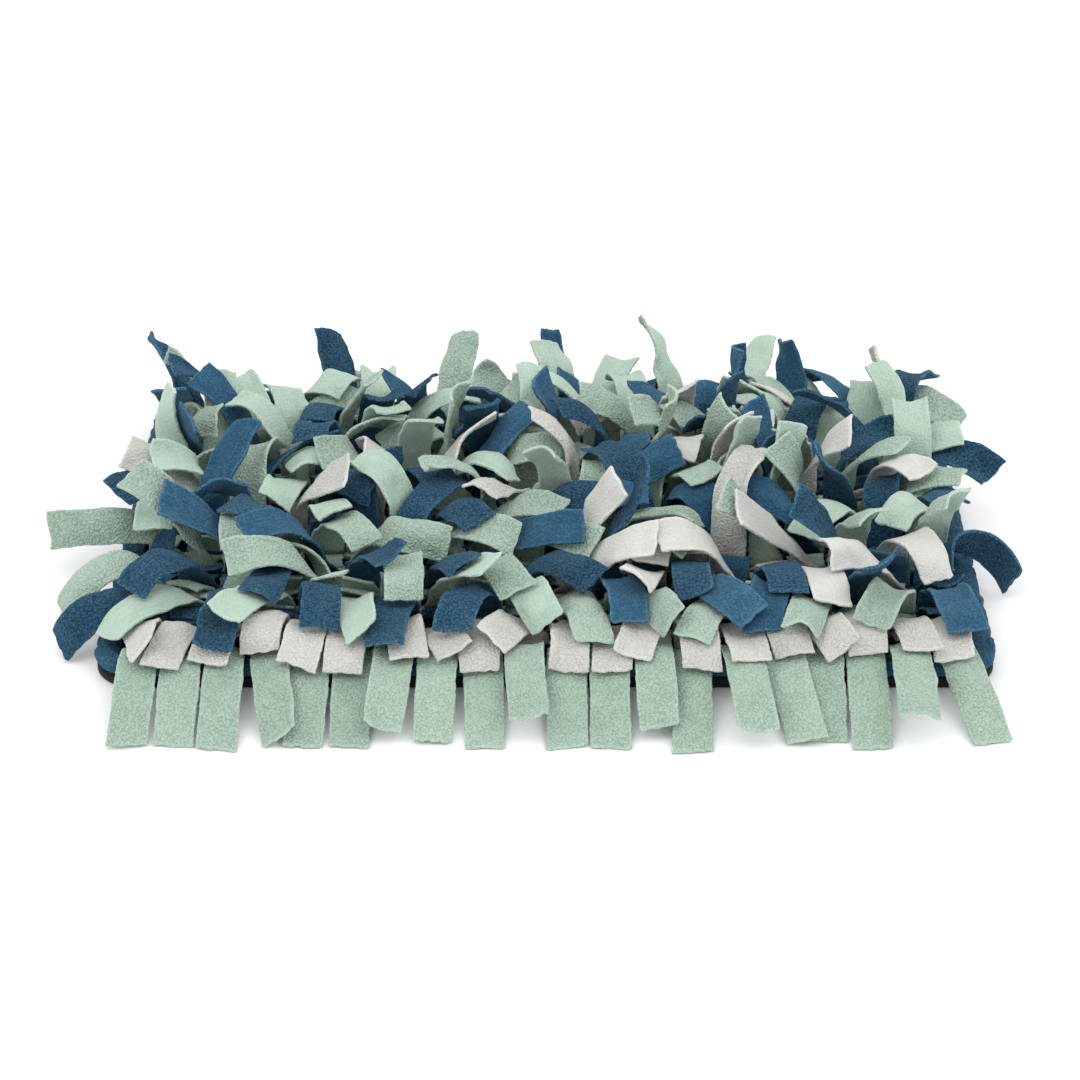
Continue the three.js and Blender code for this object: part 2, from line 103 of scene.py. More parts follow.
# The short ends along a band: in the gaps between its strips, and before them.
# In degrees: start, the lean from upright at the seam; bend, its growth to the tip; turn, the swing aside.
GAP_ENDS = {"lengths": np.arange(36, 7, -4) * MM, "to_back": 0.35, "start": (-5, 25), "bend": (35, 110),
            "ahead": 0, "root_clearance": 1.0 * MM}
FRONT_ENDS = {"lengths": np.arange(22, 7, -2) * MM, "to_back": 0.0, "start": (15, 60), "bend": (20, 75),
              "ahead": 2.2 * MM, "root_clearance": 1.5 * MM}
SHORT = {"tries": 8, "stations": 6, "turn": 35, "clearance": 3.5 * MM, "clear_from": 10 * MM,
         "reach": 110 * MM, "strip_places": (40, 9), "end_places": (6, 5)}

# The sewn edge of a band and the backing's rim: steps along them, and how the edge sways
BAR_RUN = {"step": 4 * MM, "sway": 0.2 * MM, "sway_wave": 30 * MM, "bevel_steps": 3}
MAT_RUN = {"step": 4 * MM, "bevel_steps": 4}

# The binding: a roll of cloth, squarer than an ellipse, swollen and puckered along the rim, with a sunk seam
ROLL = {"cut": 22 * MM, "step": 2.6 * MM, "sides": 20, "flat_power": 0.8, "tall_power": 0.85,
        "swell": 0.3 * MM, "swell_wave": 60 * MM, "pucker": 0.8 * MM, "pucker_wave": 13 * MM,
        "pucker_across": 20 * MM, "pucker_waves": 9, "calm_below": 0.6}
SEAM = {"turn": 0.76 * math.pi, "spread": 0.22, "deep": 0.9 * MM}
STITCH = {"long": 3.0 * MM, "pitch": 4.4 * MM, "thick": 0.55 * MM, "inset": 11.6 * MM, "seat": 0.72,
          "sides": 6, "rings": 5, "end": 0.06}

# Each fleece: linear colours in its hollows, on its body and on its raised pile, its lumpiness and its sheen.
# The hollow colour is partly painted shade in the pill hollows and the pale one partly painted light on the
# pill tops; both also carry the cloth's random tone.
SAGE = {"hollow": (0.220, 0.308, 0.246), "body": (0.398, 0.529, 0.440), "pale": (0.530, 0.655, 0.564),
        "lumps": 1.1, "sheen": 0.3, "sheen_tint": (0.8, 0.9, 0.82)}
PETROL = {"hollow": (0.009, 0.032, 0.057), "body": (0.024, 0.087, 0.152), "pale": (0.088, 0.205, 0.310),
          "lumps": 1.4, "sheen": 0.16, "sheen_tint": (0.4, 0.65, 0.85)}
IVORY = {"hollow": (0.408, 0.402, 0.372), "body": (0.594, 0.592, 0.558), "pale": (0.726, 0.726, 0.695),
         "lumps": 0.9, "sheen": 0.3, "sheen_tint": (1.0, 0.99, 0.96)}
BACKING = {"deep": (0.004, 0.006, 0.007), "raised": (0.014, 0.018, 0.020)}

# Textures. scale: cells or waves to a metre. tone, height: how much of it goes into the colour and the bump.
# The pills' tone is painted shade and light: darker in the hollows between pills, paler on their tops.
PILLS = {"scale": 660, "randomness": 1, "inside": 0.15, "outside": 0.8, "mean": 0.25, "tone": 0.42,
         "on_smooth": 0.15}
WARP = {"scale": 420, "detail": 1, "reach": 1.6 * MM}
# The fuzz's tone is partly painted highlight, paler where its bump rises, and partly the cloth's fine random
# speckle.
FUZZ = {"scale": 1900, "detail": 3, "tone": 0.7, "height": 0.35}
MOTTLE = {"scale": 90, "detail": 3, "tone": 0.35}
KNIT = {"scale": 1100, "detail": 2, "stretch": 0.08, "tone": 0.5}
TINT_TONE = 0.18
# Painted highlight: how much paler the cut edges are made.
RIM_PAINTED_HIGHLIGHT = 0.26
SHEEN_ROUGHNESS = 0.5
DOTS = {"scale": 320, "randomness": 0, "inside": 0.25, "outside": 0.4, "tone": 0.4}
WEAVE = {"scale": 1500, "detail": 2, "tone": 0.6, "dark_to": 0.1, "pale_from": 0.9}
TWIST = {"scale": 2500, "detail": 2, "dark_to": 0.3, "pale_from": 0.7}
HAZE = {"scale": 3, "detail": 2, "dark": (0.93, 0.93, 0.93), "pale": (0.95, 0.95, 0.95)}

# Roughness and specular level of each surface, and the strength and depth of its bump
FLEECE_FINISH = {"roughness": 0.95, "specular": 0.12, "strength": 0.9, "deep": 0.9 * MM}
BACKING_FINISH = {"roughness": 0.85, "specular": 0.3, "strength": 0.6, "deep": 0.5 * MM}
THREAD_FINISH = {"roughness": 0.7, "specular": 0.3, "strength": 0.5, "deep": 0.15 * MM}
FLOOR_FINISH = {"roughness": 0.9, "specular": 0.1}

# The floor, the light and the photograph's camera. power: watts. elevation: degrees. sensor: millimetres.
FLOOR = {"reach": 4, "drop": 0.1 * MM}
WORLD_STRENGTH = 1.15
LIGHTS = ({"name": "key", "place": (-0.7, -1.0, 1.7), "size": 1.3, "power": 8},
          {"name": "fill", "place": (0.9, -0.6, 1.5), "size": 1.4, "power": 5})
VIEW = {"elevation": 28, "distance": 1.79, "target": (-0.003, -0.033, 0.020), "focal_pixels": 3040,
        "frame_pixels": 1080, "sensor": 36, "clip_start": 0.05}


def ease(x, low, high):
    """A smooth step from 0 at low to 1 at high."""
    s = np.clip((x - low) / (high - low), 0, 1)
    return s * s * (3 - 2 * s)


def unit(vectors):
    """Vectors scaled to a length of one."""
    return vectors / np.maximum(np.linalg.norm(vectors, axis=-1, keepdims=True), TINY)


def ripple(rng, x, y, wavelength, waves=6):
    """A smooth random field over x and y, mostly between -1 and 1, with bumps half a wavelength wide."""
    total = 0
    for _ in range(waves):
        way = rng.uniform(0, 2 * math.pi)
        turn = 2 * math.pi / (wavelength * rng.uniform(*WAVE_SPREAD))
        phase = rng.uniform(0, 2 * math.pi)
        total = total + np.sin(turn * (x * math.cos(way) + y * math.sin(way)) + phase)
    return total / (WAVE_CREST * math.sqrt(waves / 2))


class Skin:
    """The points, faces and point values of one piece, gathered from its parts."""

    def __init__(self):
        self.points = []
        self.faces = []
        self.values = {"pile": [], "rim": [], "tint": [], "across": [], "along": []}
        self.count = 0

    def add(self, points, faces, pile=0.5, rim=0.0, tint=0.5, across=0.0, along=0.0):
        """Adds a part, each of its values the same all over or given for each point."""
        points = np.asarray(points, float).reshape(-1, 3)
        self.points.append(points)
        self.faces.extend((np.asarray(face) + self.count).tolist() for face in faces)
        given = {"pile": pile, "rim": rim, "tint": tint, "across": across, "along": along}
        for key, value in given.items():
            self.values[key].append(np.broadcast_to(value, len(points)))
        self.count += len(points)

    def make(self, name, material):
        """The piece of all the parts, nowhere below the floor."""
        points = np.vstack(self.points)
        points[:, 2] = np.maximum(points[:, 2], 0)
        mesh = bpy.data.meshes.new(name)
        mesh.from_pydata(points.tolist(), [], self.faces)
        for key, parts in self.values.items():
            layer = mesh.attributes.new(key, "FLOAT", "POINT")
            layer.data.foreach_set("value", np.concatenate(parts).astype(np.float32))
        mesh.shade_smooth()
        mesh.materials.append(material)
        piece = bpy.data.objects.new(name, mesh)
        bpy.context.scene.collection.objects.link(piece)
        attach(piece, "root")
        return piece


def quads(index):
    """The faces between the rows and columns of a grid of point numbers."""
    corners = (index[:-1, :-1], index[:-1, 1:], index[1:, 1:], index[1:, :-1])
    return np.stack(corners, axis=-1).reshape(-1, 4)


def ring_index(rows, columns, closed_rows):
    """Point numbers of a tube whose columns close on themselves, and whose rows may too."""
    index = np.arange(rows * columns).reshape(rows, columns)
    index = np.hstack([index, index[:, :1]])
    return np.vstack([index, index[:1]]) if closed_rows else index


# Reading the solids


def welded(mesh):
    """A node's points with doubles merged, and for each the points that an edge joins to it."""
    raw = np.empty(len(mesh.vertices) * 3, np.float32)
    mesh.vertices.foreach_get("co", raw)
    raw = raw.reshape(-1, 3)
    keys = np.round(raw / WELD).astype(int)
    _, first, owner = np.unique(keys, axis=0, return_index=True, return_inverse=True)
    owner = owner.ravel()
    near = [set() for _ in first]
    for edge in mesh.edges:
        a, b = owner[edge.vertices[0]], owner[edge.vertices[1]]
        near[a].add(b)
        near[b].add(a)
    return raw[first].astype(float), near


def follow(ring, near, used):
    """The rings of a strip from its root on, each ring's corners in the same order as the last one's."""
    rings = [ring]
    used = used | set(ring)
    while near[ring[0]] - used:
        ahead = [near[corner] - used for corner in ring]
        (first,) = ahead[0]
        (second,) = ahead[1] - {first}
        (fourth,) = ahead[3] - {first}
        (third,) = ahead[2] - {second, fourth}
        ring = [first, second, third, fourth]
        used |= set(ring)
        rings.append(ring)
    return rings


def read_band(node):
    """A band's seam line and the left and right edges of its strips, from the seam to the tip."""
    points, near = welded(node.data)
    at_top = np.abs(points[:, 2] - BAR["top"]) < CLOSE
    at_foot = np.abs(points[:, 2] - BAR["low"]) < CLOSE
    seam = np.median(points[at_top, 1])
    out = np.abs(points[:, 1] - seam)
    at_root = at_top & (np.abs(out - STRIP["thick"] / 2) < CLOSE)
    at_bar = (at_top | at_foot) & (np.abs(out - BAR["wide"] / 2) < CLOSE)
    roots = np.flatnonzero(at_root)
    used = set(roots) | set(np.flatnonzero(at_bar))
    order = roots[np.argsort(points[roots, 0])]
    front = [i for i in order if points[i, 1] < seam]
    back = [i for i in order if points[i, 1] > seam]
    strips = []
    for k in range(0, len(front), 2):
        ring = [front[k], front[k + 1], back[k + 1], back[k]]
        corners = points[np.array(follow(ring, near, used))]
        strips.append({"left": corners[:, [0, 3]].mean(axis=1), "right": corners[:, [1, 2]].mean(axis=1),
                       "grid": LONG_GRID, "ahead": 0})
    ends = points[at_bar, 0]
    return {"seam": seam, "span": (ends.min(), ends.max()), "strips": strips}


# Cloth strips


def spline(stations, t):
    """Points on a smooth curve through evenly spaced stations."""
    first = 2 * stations[0] - stations[1]
    last = 2 * stations[-1] - stations[-2]
    line = np.vstack([first, stations, last])
    k = np.clip(np.floor(t).astype(int), 0, len(stations) - 2)
    f = (t - k)[..., None]
    a, b, c, d = (line[k + i] for i in range(4))
    return b + 0.5 * f * (c - a + f * (2 * a - 5 * b + 4 * c - d + f * (3 * (b - c) + d - a)))


def strip_length(strip):
    """The length of a strip along its middle line."""
    middle = (strip["left"] + strip["right"]) / 2
    return np.linalg.norm(np.diff(middle, axis=0), axis=1).sum()


def places_on(strip, rows, columns):
    """Points spread evenly over the middle of a strip's thickness."""
    t = np.linspace(0, len(strip["left"]) - 1, rows)
    left = spline(strip["left"], t)[:, None]
    right = spline(strip["right"], t)[:, None]
    return (left + (right - left) * np.linspace(0, 1, columns)[None, :, None]).reshape(-1, 3)


def tree_of(points):
    """A search tree over points, numbered in their order."""
    tree = KDTree(len(points))
    for i, point in enumerate(points):
        tree.insert(point, i)
    tree.balance()
    return tree


def short_end(root, length, kind, rng):
    """A short strip that leaves its seam and bends over to the front or to the back."""
    count = SHORT["stations"]
    falls = -1 if rng.uniform() < kind["to_back"] else 1
    turn = math.radians(rng.uniform(-SHORT["turn"], SHORT["turn"]))
    start, bend = (math.radians(rng.uniform(*kind[key])) for key in ("start", "bend"))
    share = np.linspace(0, 1, count)[:, None]
    lean = start + bend * (share[1:] + share[:-1]) / 2
    ahead = falls * np.array([math.sin(turn), -math.cos(turn), 0])
    steps = (np.sin(lean) * ahead + np.cos(lean) * np.array([0, 0, 1])) * length / (count - 1)
    middle = root + np.vstack([np.zeros(3), np.cumsum(steps, axis=0)])
    swing = turn * np.minimum(1, 2 * share)
    half = np.hstack([np.cos(swing), np.sin(swing), 0 * swing]) * STRIP["wide"] / 2
    return {"left": middle - half, "right": middle + half, "grid": SHORT_GRID, "ahead": kind["ahead"]}


def is_clear(places, root, kind, tree, taken):
    """Whether a short end's places keep clear of the band's bar, the strips and the other short ends."""
    high = ease(places[:, 2] - root[2], 0, SHORT["clear_from"])
    if (places[:, 2] < BAR["top"] + CLOTH_THICK * high).any():
        return False
    need = kind["root_clearance"] + (SHORT["clearance"] - kind["root_clearance"]) * high
    if any(tree.find(place)[2] < least for place, least in zip(places[::-1], need[::-1])):
        return False
    close = [other for other in taken if np.abs(other[0] - root).max() < SHORT["reach"]]
    if not close:
        return True
    free = np.linalg.norm(places[:, None] - np.vstack(close), axis=2).min(axis=1)
    return (free > need).all()


def roots_of(band):
    """Where a band has room for short ends: in each gap as wide as a strip, and before each gap and strip."""
    roots = []
    for one, two in zip(band["strips"], band["strips"][1:]):
        if two["left"][0][0] - one["right"][0][0] >= STRIP["wide"]:
            middle = (one["right"][0] + two["left"][0]) / 2
            roots += [(middle, GAP_ENDS), (middle, FRONT_ENDS)]
    for strip in band["strips"]:
        roots.append(((strip["left"][0] + strip["right"][0]) / 2, FRONT_ENDS))
    return roots


def fill_gaps(bands, rng):
    """Adds short ends along every band behind the front row, each as long as there is room for."""
    strips = [strip for band in bands for strip in band["strips"]]
    tree = tree_of(np.vstack([places_on(strip, *SHORT["strip_places"]) for strip in strips]))
    taken = []
    front_seam = min(band["seam"] for band in bands)
    for band in bands:
        if band["seam"] == front_seam:
            continue
        for seam, kind in roots_of(band):
            root = seam - np.array([0, kind["ahead"], 0])
            for length in np.repeat(kind["lengths"], SHORT["tries"]):
                end = short_end(root, length, kind, rng)
                places = places_on(end, *SHORT["end_places"])
                if is_clear(places, root, kind, tree, taken):
                    band["strips"].append(end)
                    taken.append(places)
                    break


def find_room(strips):
    """Sets how far each strip's cloth may stray at a grid of places, from how near the other strips come."""
    grids = [places_on(strip, ROOM["rows"], ROOM["columns"]) for strip in strips]
    size = len(grids[0])
    tree = tree_of(np.vstack(grids))
    for number, (strip, grid) in enumerate(zip(strips, grids)):
        free = np.full(size, ROOM["none_near"])
        for i, point in enumerate(grid):
            for _, other, distance in tree.find_n(point, ROOM["nearest"]):
                if other // size != number:
                    free[i] = distance
                    break
        room = (free - CLOTH_THICK - ROOM["gap"]) / 2
        strip["room"] = np.clip(room, ROOM["least"], ROOM["most"]).reshape(ROOM["rows"], ROOM["columns"])


def blend_weights(coarse, fine):
    """Weights that carry values from an even coarse grid over 0 to 1 to finer places."""
    places = np.linspace(0, 1, coarse)
    return np.maximum(0, 1 - np.abs(fine[:, None] - places[None]) * (coarse - 1))


def crumple(rng, along, side, last):
    """How the cloth bows out of its plane, from -1 to 1. Nothing moves where the seam holds it."""
    cup = ripple(rng, along, 0 * along, CUP["wave"]) + rng.uniform(-CUP["bias"], CUP["bias"])
    wave = ripple(rng, along, side, WAVE["wave"])
    flutter = ripple(rng, along, FLUTTER["across"] * side, FLUTTER["wave"])
    curl = rng.uniform(-1, 1) * ease(along, last - CURL["before"], last + CURL["past"])
    # Half as deep on the middle line as it is high at the edges
    bowl = 1.5 * side**2 - 0.5
    bow = CUP["share"] * cup * bowl + WAVE["share"] * wave
    bow = bow + FLUTTER["share"] * flutter * np.abs(side) ** FLUTTER["fade"] + CURL["share"] * curl
    return np.clip(bow, -1, 1) * ease(along, **HELD)


def ribbon(strip, rng):
    """The middle surface of a strip of fleece, its facing, and how its thickness rounds off at its edges."""
    last = len(strip["left"]) - 1
    step = strip_length(strip) / last
    grid = strip["grid"]
    half = grid["edge"] / STRIP["wide"]
    across = np.concatenate([half, [0.5], 1 - half[::-1]])
    tip_rows = last - grid["tip"][::-1] / step
    root_rows = np.linspace(0, BODY_START, grid["root_rows"])[:-1]
    body_rows = np.linspace(BODY_START, tip_rows[0], grid["body_rows"])[:-1]
    rows = np.concatenate([root_rows, body_rows, tip_rows])
    along, side = np.meshgrid(rows, 2 * across - 1, indexing="ij")

    slant = rng.uniform(-CUT["slant"], CUT["slant"]) * side
    slant = slant + CUT["ragged"] * ripple(rng, 0 * side, side, CUT["ragged_wave"])
    nip = np.clip((np.abs(side) - CUT["corner_start"]) / (1 - CUT["corner_start"]), 0, 1) ** 2
    t = along + slant * ease(along, last - CUT["slant_from"], last)
    t = t - CUT["corner"] * nip * ease(along, last - CUT["corner_from"], last)
    drift = 1 + DRIFT["share"] * ripple(rng, along, 0 * along, DRIFT["wave"])
    wander = ripple(rng, along, EDGE["apart"] * np.sign(side), EDGE["wave"]) * np.abs(side) ** EDGE["fade"]
    fray = rng.uniform(-1, 1, side.shape) * (np.abs(side) == 1)
    stray = 2 * (EDGE["wander"] * wander + EDGE["fray"] * fray) / STRIP["wide"]
    v = 0.5 + 0.5 * side * (drift + stray)
    left = spline(strip["left"], t)
    right = spline(strip["right"], t)
    middle = left + (right - left) * v[..., None]

    room = blend_weights(ROOM["rows"], rows / last) @ strip["room"] @ blend_weights(ROOM["columns"], across).T
    room = room * (ROOM["lying"] + (1 - ROOM["lying"]) * ease(middle[..., 2], ROOM["low"], ROOM["high"]))
    facing = unit(np.cross(right - left, np.gradient(middle, axis=0)))
    middle = middle + facing * (room * crumple(rng, along, side, last))[..., None]
    middle[0, :, 2] -= BAR["bevel"]
    facing = unit(np.cross(np.gradient(middle, axis=1), np.gradient(middle, axis=0)))

    to_edge = (0.5 - np.abs(side) / 2) * STRIP["wide"]
    inward = np.minimum(to_edge, (last - along) * step)
    profile = np.sqrt(1 - (1 - np.clip(inward / EDGE["round"], 0, 1)) ** 2)
    profile[0] = 0
    return {"middle": middle, "facing": facing, "profile": profile, "inward": inward, "along": along * step,
            "side": side * STRIP["wide"] / 2}


def lay_strip(skin, strip, rng, rough_front):
    """Adds one strip of fleece to a band. One face has raised pile, and the other is brushed smooth."""
    cloth = ribbon(strip, rng)
    rows, columns = cloth["profile"].shape
    front = np.arange(rows * columns).reshape(rows, columns)
    inner = np.arange((rows - 2) * (columns - 2)).reshape(rows - 2, columns - 2)
    back = front.copy()
    back[1:-1, 1:-1] = inner + rows * columns
    points, piles = [], []
    faces = ("rough", "brushed") if rough_front else ("brushed", "rough")
    for sign, face in zip((1, -1), faces):
        lumps = ripple(rng, cloth["along"], cloth["side"], LUMP["size"], LUMP["waves"])
        lift = CLOTH_THICK / 2 + lumps * LUMP[face]
        points.append(cloth["middle"] + sign * cloth["facing"] * (lift * cloth["profile"])[..., None])
        piles.append(np.full((rows, columns), PILE[face]))
    # Nearness to a cut edge: the cut has its own pile, and the material paints a highlight along it.
    rim = 1 - ease(cloth["inward"], 0, EDGE["rim"])
    piles[0][rim > EDGE["at_cut"]] = PILE["rim"]

    def both(first, second):
        return np.concatenate([first.reshape(rows * columns, -1), second[1:-1, 1:-1].reshape(inner.size, -1)])

    place = both(*points)
    place[:, 2] = np.maximum(place[:, 2], FLOOR_GAP)
    shared = {"rim": rim, "across": cloth["side"], "along": cloth["along"]}
    values = {key: both(field, field)[:, 0] for key, field in shared.items()}
    cover = np.concatenate([quads(front), quads(back)[:, ::-1]])
    skin.add(place, cover, pile=both(*piles)[:, 0], tint=rng.uniform(0, 1), **values)


def rounded_section(wide, high, bevel, steps):
    """A rectangle with rounded corners about the origin, turning from +X to +Y."""
    points = []
    for quarter, (x, y) in enumerate(((1, 1), (-1, 1), (-1, -1), (1, -1))):
        for i in range(steps + 1):
            turn = math.pi / 2 * (quarter + i / steps)
            points.append((x * (wide / 2 - bevel) + bevel * math.cos(turn),
                           y * (high / 2 - bevel) + bevel * math.sin(turn)))
    return np.array(points)


def lay_bar(skin, band, rng):
    """Adds the sewn-down edge of a band, from which its strips rise."""
    low, high = band["span"]
    section = rounded_section(BAR["wide"], BAR["top"] - BAR["low"], BAR["bevel"], BAR_RUN["bevel_steps"])
    count = round((high - low) / BAR_RUN["step"])
    x = np.linspace(low, high, count)
    sway = BAR_RUN["sway"] * ripple(rng, x, 0 * x, BAR_RUN["sway_wave"])
    rows = np.empty((count, len(section), 3))
    rows[..., 0] = x[:, None]
    rows[..., 1] = band["seam"] + section[None, :, 0] + sway[:, None]
    rows[..., 2] = (BAR["low"] + BAR["top"]) / 2 + section[None, :, 1]
    index = ring_index(count, len(section), False)
    ends = [index[0, :-1], index[-1, :-1][::-1]]
    skin.add(rows, list(quads(index)[:, ::-1]) + ends)


def lay_band(name, band, material, rng):
    """One band of fleece: its sewn edge and its loose strips, as a sheet cut to a comb."""
    skin = Skin()
    lay_bar(skin, band, rng)
    rough_front = rng.uniform() < TURNED_SHARE and not name.startswith(FRONT_BANDS)
    for strip in band["strips"]:
        lay_strip(skin, strip, rng, rough_front)
    piece = skin.make("fleece_" + name.removeprefix("band_"), material)
    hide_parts(name)


# Backing, binding and stitches


def edge_path(half_x, half_y, corner, spacing):
    """Points evenly spaced round a rectangle with round corners, the way out at each, and the length."""
    straight = (2 * (half_y - corner), 2 * (half_x - corner))
    arc = math.pi / 2 * corner
    total = 2 * sum(straight) + 4 * arc
    count = round(total / spacing)
    points, outward = [], []
    for i in range(count):
        s = total * i / count
        side = 0
        while s >= straight[side % 2] + arc:
            s -= straight[side % 2] + arc
            side += 1
        run = straight[side % 2]
        facing = side * math.pi / 2
        turn = facing + max(0, s - run) / corner
        out = np.array([math.cos(turn), math.sin(turn)])
        way = np.array([-math.sin(facing), math.cos(facing)])
        across = np.array([math.cos(facing), math.sin(facing)])
        reach = half_x if side % 2 == 0 else half_y
        start = across * (reach - corner) + way * (min(s, run) - run / 2)
        points.append(start + out * corner)
        outward.append(out)
    return np.array(points), np.array(outward), total


def lay_backing(material):
    """The dark backing, a thick cloth with softened edges that lies on the floor."""
    low, high = (np.array(corner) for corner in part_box("base_mat"))
    points, outward, _ = edge_path(high[0], high[1], MAT["corner"], MAT_RUN["step"])
    steps = MAT_RUN["bevel_steps"]
    profile = []
    for level, start, centre in ((low[2], -1, 1), (high[2], 0, -1)):
        for i in range(steps + 1):
            turn = math.pi / 2 * (start + i / steps)
            inset = MAT["bevel"] * (math.cos(turn) - 1)
            profile.append((inset, level + MAT["bevel"] * (centre + math.sin(turn))))
    rows = [np.column_stack([points + outward * out, np.full(len(points), z)]) for out, z in profile]
    index = ring_index(len(rows), len(points), False)
    skin = Skin()
    skin.add(rows, list(quads(index)) + [index[0, :-1][::-1], index[-1, :-1]])
    piece = skin.make("backing_mat", material)
    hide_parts("base_mat")


def signed_power(values, power):
    """Values raised to a power with their signs kept."""
    return np.sign(values) * np.abs(values) ** power


def lay_binding(material, rng):
    """The rolled fleece edge round the mat, swollen and puckered above its sunk line of stitches."""
    _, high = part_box("edge_binding")
    points, outward, total = edge_path(high[0], high[1], MAT["corner"], ROLL["step"])
    s = np.linspace(0, total, len(points), endpoint=False)
    turn = np.linspace(0, 2 * math.pi, ROLL["sides"], endpoint=False)
    flat = signed_power(np.cos(turn), ROLL["flat_power"])
    tall = signed_power(np.sin(turn), ROLL["tall_power"])
    swell = ripple(rng, s, 0 * s, ROLL["swell_wave"])[:, None]
    around = ROLL["pucker_across"] * np.cos(turn)[None]
    pucker = ripple(rng, s[:, None], around, ROLL["pucker_wave"], ROLL["pucker_waves"])
    lift = (ROLL["swell"] * swell + ROLL["pucker"] * pucker) * np.clip(tall + ROLL["calm_below"], 0, 1)[None]
    out = ((flat - 1) * BINDING["wide"] / 2)[None] + lift * flat[None]
    up = BINDING["low"] + BINDING["tall"] / 2 * (1 + tall)[None] + lift * np.clip(tall, 0, 1)[None]
    up = up - SEAM["deep"] * np.exp(-(((turn - SEAM["turn"]) / SEAM["spread"]) ** 2))[None]
    rows = np.concatenate([points[:, None] + outward[:, None] * out[..., None], up[..., None]], axis=-1)
    index = ring_index(len(points), ROLL["sides"], True)
    skin = Skin()
    skin.add(rows, quads(index)[:, ::-1], pile=PILE["binding"])
    piece = skin.make("binding_roll", material)
    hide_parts("edge_binding")


def lay_stitches(material):
    """The row of thread stitches that holds the binding down."""
    _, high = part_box("edge_binding")
    inset = STITCH["inset"]
    points, outward, _ = edge_path(high[0] - inset, high[1] - inset, MAT["corner"] - inset, STITCH["pitch"])
    top = BINDING["low"] + STITCH["seat"] * BINDING["tall"]
    turn = np.linspace(0, 2 * math.pi, STITCH["sides"], endpoint=False)[:, None]
    upward = np.array([0, 0, 1])
    skin = Skin()
    for (x, y), (out_x, out_y) in zip(points, outward):
        way = np.array([-out_y, out_x, 0])
        out = np.array([out_x, out_y, 0])
        rows = []
        for e in np.linspace(-1, 1, STITCH["rings"]):
            radius = STITCH["thick"] / 2 * math.sqrt(max(STITCH["end"], 1 - e**4))
            sink = STITCH["thick"] * e * e
            middle = np.array([x, y, top - sink]) + way * e * STITCH["long"] / 2
            rows.append(middle + radius * (np.cos(turn) * out + np.sin(turn) * upward))
        index = ring_index(STITCH["rings"], STITCH["sides"], False)
        skin.add(rows, list(quads(index)) + [index[0, :-1][::-1], index[-1, :-1]])
    piece = skin.make("binding_stitches", material)


# Materials


def add_node(tree, kind, inputs=None, **settings):
    """A node with its settings, and its inputs set or linked."""
    node = tree.nodes.new(kind)
    for key, value in settings.items():
        setattr(node, key, value)
    for key, value in (inputs or {}).items():
        if isinstance(value, bpy.types.NodeSocket):
            tree.links.new(value, node.inputs[key])
        else:
            node.inputs[key].default_value = value
    return node


def maths(tree, operation, a, b):
    """Two values added, multiplied or the like."""
    return add_node(tree, "ShaderNodeMath", {0: a, 1: b}, operation=operation).outputs[0]


def vector_maths(tree, operation, inputs):
    """A vector moved or scaled."""
    return add_node(tree, "ShaderNodeVectorMath", inputs, operation=operation).outputs[0]


def about(tree, value, centre, share):
    """A value measured from its centre, times a share."""
    return maths(tree, "MULTIPLY", maths(tree, "SUBTRACT", value, centre), share)


def place_of(tree):
    """The place of each point on the piece, in metres."""
    return add_node(tree, "ShaderNodeTexCoord").outputs["Object"]


def point_value(tree, key):
    """One of the values that a skin carries at its points."""
    return add_node(tree, "ShaderNodeAttribute", attribute_name=key).outputs["Fac"]


def noise(tree, where, texture, output="Fac"):
    """A soft random texture."""
    inputs = {"Vector": where, "Scale": texture["scale"], "Detail": texture["detail"]}
    return add_node(tree, "ShaderNodeTexNoise", inputs).outputs[output]


def cells(tree, where, texture):
    """The distance from the centres of cells."""
    inputs = {"Vector": where, "Scale": texture["scale"], "Randomness": texture["randomness"]}
    return add_node(tree, "ShaderNodeTexVoronoi", inputs).outputs["Distance"]


def remap(tree, value, low, high, start, end):
    """A value that goes from start to end as another goes from low to high."""
    inputs = {"Value": value, "From Min": low, "From Max": high, "To Min": start, "To Max": end}
    return add_node(tree, "ShaderNodeMapRange", inputs).outputs[0]


def ramp(tree, factor, stops):
    """A colour that runs through stops of place and colour."""
    node = add_node(tree, "ShaderNodeValToRGB", {"Fac": factor})
    elements = node.color_ramp.elements
    while len(elements) < len(stops):
        elements.new(0.5)
    for element, (place, colour) in zip(elements, stops):
        element.position = place
        element.color = (*colour, 1)
    return node.outputs["Color"]


def new_material(name, finish):
    """A material with its roughness and specular level set."""
    material = bpy.data.materials.new(name)
    material.use_nodes = True
    shader = material.node_tree.nodes["Principled BSDF"]
    shader.inputs["Roughness"].default_value = finish["roughness"]
    shader.inputs["Specular IOR Level"].default_value = finish["specular"]
    return material, material.node_tree, shader


def set_bump(tree, shader, height, finish):
    """Lets a height raise the surface of a material."""
    inputs = {"Height": height, "Strength": finish["strength"], "Distance": finish["deep"]}
    bump = add_node(tree, "ShaderNodeBump", inputs)
    tree.links.new(bump.outputs["Normal"], shader.inputs["Normal"])


